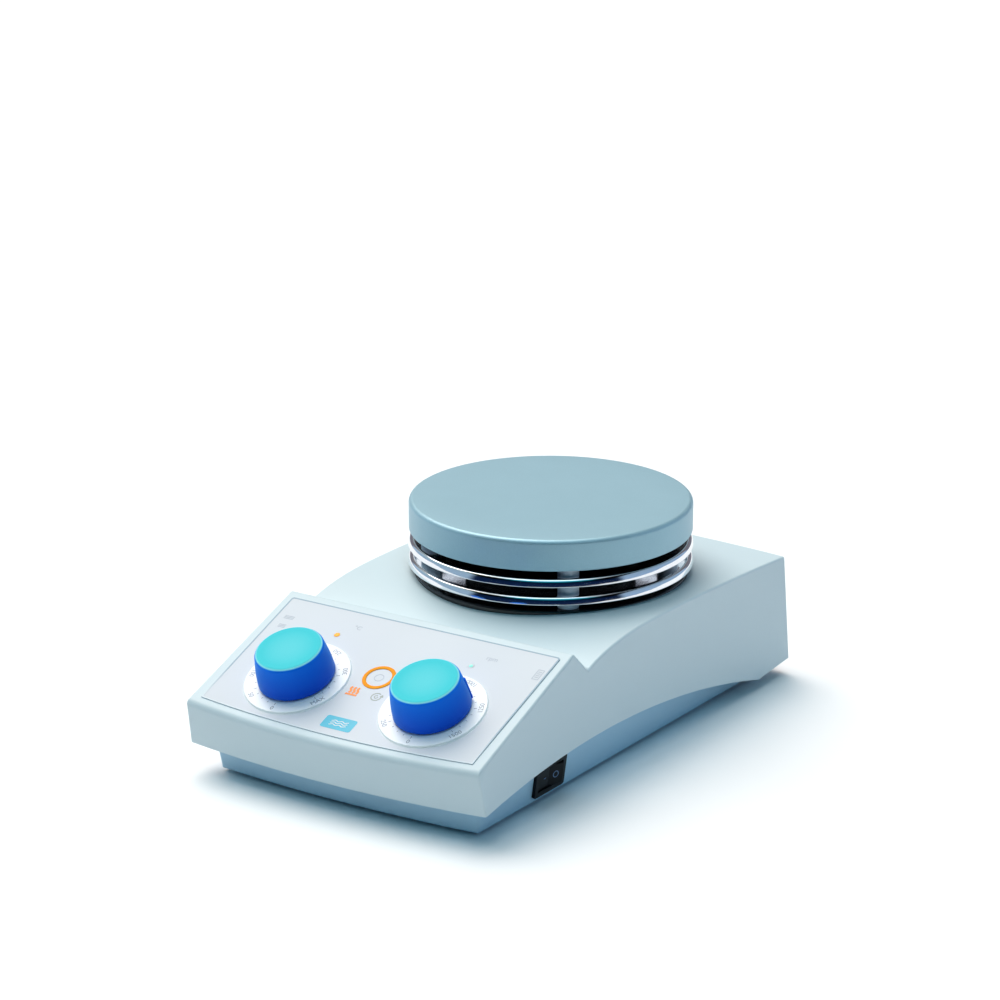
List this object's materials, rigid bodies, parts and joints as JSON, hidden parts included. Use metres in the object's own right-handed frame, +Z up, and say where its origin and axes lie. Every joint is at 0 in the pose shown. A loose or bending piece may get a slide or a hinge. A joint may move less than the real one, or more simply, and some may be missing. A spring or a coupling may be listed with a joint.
{
  "type": "magnetic stirrer",
  "caption": "Heating magnetic stirrer: wedge housing with a sloped two-knob panel, round heating plate on posts above polished rings, and a spinning drive magnet inside.",
  "frame": {"origin": "on the surface it stands on, under the middle of the housing", "axes": "+Z up, +Y to the back, the control panel faces -Y, the power switch is on the +X side"},
  "size_m": [0.163, 0.2796, 0.1],
  "materials": {
    "housing_plastic": "light grey, fine texture",
    "tray_plastic": "grey, fine texture",
    "rubber": "matt black",
    "steel": "turned",
    "overlay_film": "satin printed film",
    "dial_white": "satin white",
    "signal_orange": "translucent",
    "signal_green": "translucent",
    "knob_blue": "satin blue",
    "black_plastic": "black",
    "circuit_board": "solder mask",
    "brass": "turned",
    "plate_ceramic": "satin ceramic coat",
    "element_metal": "heat tinted",
    "mineral_board": "pressed mineral board",
    "polished_ring": "polished",
    "aluminium": "cast",
    "laminations": "varnished laminations",
    "magnet_nickel": "nickel plate",
    "ceramic_white": "ceramic",
    "capacitor_sleeve": "sleeve"
  },
  "bodies": {
    "base": {"upper_housing": "housing_plastic", "base_tray": "tray_plastic", "rubber_feet": "rubber", "housing_screws": "steel", "front_overlay": "overlay_film", "temperature_dial": "dial_white", "speed_dial": "dial_white", "hot_surface_ring": "signal_orange", "temperature_led": "signal_orange", "speed_led": "signal_green", "temperature_potentiometer": "black_plastic", "speed_potentiometer": "black_plastic", "potentiometer_nuts": "steel", "control_board": "circuit_board", "control_components": "black_plastic", "board_standoffs": "brass", "heating_plate": "plate_ceramic", "heating_element": "element_metal", "insulation_disc": "mineral_board", "plate_sensor": "element_metal", "plate_studs": "steel", "stud_nuts": "steel", "upper_spacers": "steel", "middle_spacers": "steel", "lower_spacers": "steel", "upper_heat_shield": "polished_ring", "lower_heat_shield": "polished_ring", "stack_base": "black_plastic", "magnet_shroud": "black_plastic", "motor_can": "aluminium", "motor_cover": "aluminium", "motor_stator": "laminations", "motor_bushes": "brass", "motor_bracket": "steel", "bracket_spacers": "steel", "motor_screws": "steel", "switch_frame": "black_plastic", "inlet_housing": "black_plastic", "inlet_pins": "brass", "inlet_screws": "steel", "probe_socket": "steel", "probe_socket_nut": "steel", "rod_socket": "brass", "power_board": "circuit_board", "power_standoffs": "aluminium", "transformer": "laminations", "heat_sink": "aluminium", "capacitors": "capacitor_sleeve"},
    "temperature_control": {"temperature_knob": "knob_blue", "temperature_shaft": "steel"},
    "speed_control": {"speed_knob": "knob_blue", "speed_shaft": "steel"},
    "power_rocker": {"switch_rocker": "black_plastic"},
    "stirring_rotor": {"motor_shaft": "steel", "motor_rotor": "laminations", "magnet_carrier": "aluminium", "drive_magnets": "magnet_nickel"},
    "fuse_holder": {"fuse_drawer": "black_plastic", "fuse": "ceramic_white"}
  },
  "joints": [
    {"name": "temperature_turn", "type": "hinge", "parent": "base", "child": "temperature_control", "pos_m": [-0.0372, -0.11034, 0.05468], "axis": [0, -0.3633, 0.9317], "range_deg": [-151, 153]},
    {"name": "speed_turn", "type": "hinge", "parent": "base", "child": "speed_control", "pos_m": [0.0372, -0.11034, 0.05468], "axis": [0, -0.3633, 0.9317], "range_deg": [-71, 233]},
    {"name": "power_rock", "type": "hinge", "parent": "base", "child": "power_rocker", "pos_m": [0.06994, -0.0685, 0.01225], "axis": [-0.1392, 0, -0.9903], "range_deg": [-14, 0]},
    {"name": "rotor_spin", "type": "hinge", "parent": "base", "child": "stirring_rotor", "pos_m": [0, 0.0448, 0.05], "axis": [0, 0, 1], "continuous": true},
    {"name": "fuse_drawer_slide", "type": "slide", "parent": "base", "child": "fuse_holder", "axis": [0, 1, 0], "range_m": [0, 0.014]}
  ]
}
